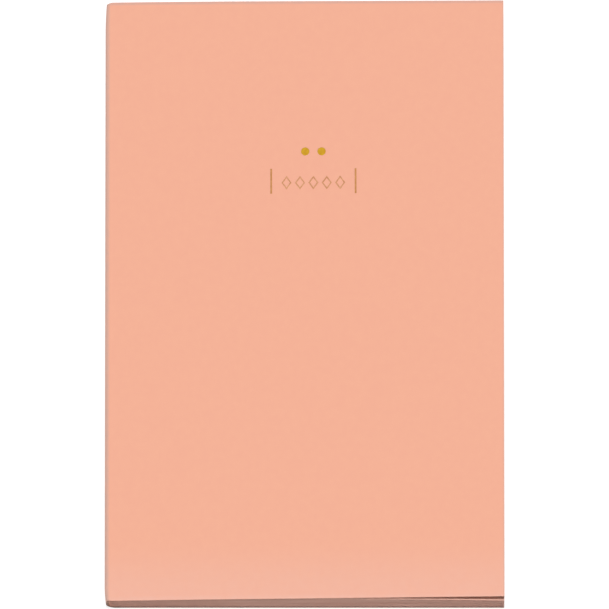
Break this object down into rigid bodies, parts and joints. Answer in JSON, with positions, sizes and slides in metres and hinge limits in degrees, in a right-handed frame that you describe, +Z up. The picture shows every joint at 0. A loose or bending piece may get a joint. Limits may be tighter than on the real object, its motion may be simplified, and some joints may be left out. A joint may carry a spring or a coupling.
{
  "type": "notebook",
  "caption": "Flush-cut softcover notebook with a rounded spine, tinted page edges and a small stamped foil ornament; the front cover springs up a little at the fore-edge.",
  "frame": {"origin": "on the table, under the middle of the box round the closed notebook", "axes": "+X from the spine to the fore-edge, +Y from the tail to the head, +Z up out of the front cover"},
  "size_m": [0.1396, 0.216, 0.0158],
  "materials": {
    "cover_card": "soft matte coated card",
    "page_edges": "matte, edges tinted to match the cover",
    "endpaper": "matte uncoated, tinted to match the cover",
    "mull": "matte glued gauze",
    "gold_foil": "satin"
  },
  "bodies": {
    "block": {"page_block": "page_edges", "front_flyleaf": "endpaper", "back_flyleaf": "endpaper", "spine_lining": "mull", "spine_cover": "cover_card"},
    "front": {"front_cover": "cover_card", "front_pastedown": "endpaper", "foil_dots": "gold_foil", "foil_bars": "gold_foil", "foil_lozenges": "gold_foil"},
    "back": {"back_cover": "cover_card", "back_pastedown": "endpaper"}
  },
  "joints": [
    {"name": "front_cover_hinge", "type": "hinge", "parent": "block", "child": "front", "pos_m": [-0.06836, 0, 0.01066], "axis": [0, -1, 0], "range_deg": [0, 178]},
    {"name": "back_cover_hinge", "type": "hinge", "parent": "block", "child": "back", "pos_m": [-0.06913, 0, 0.00171], "axis": [0, 1, 0], "range_deg": [0, 179]}
  ]
}
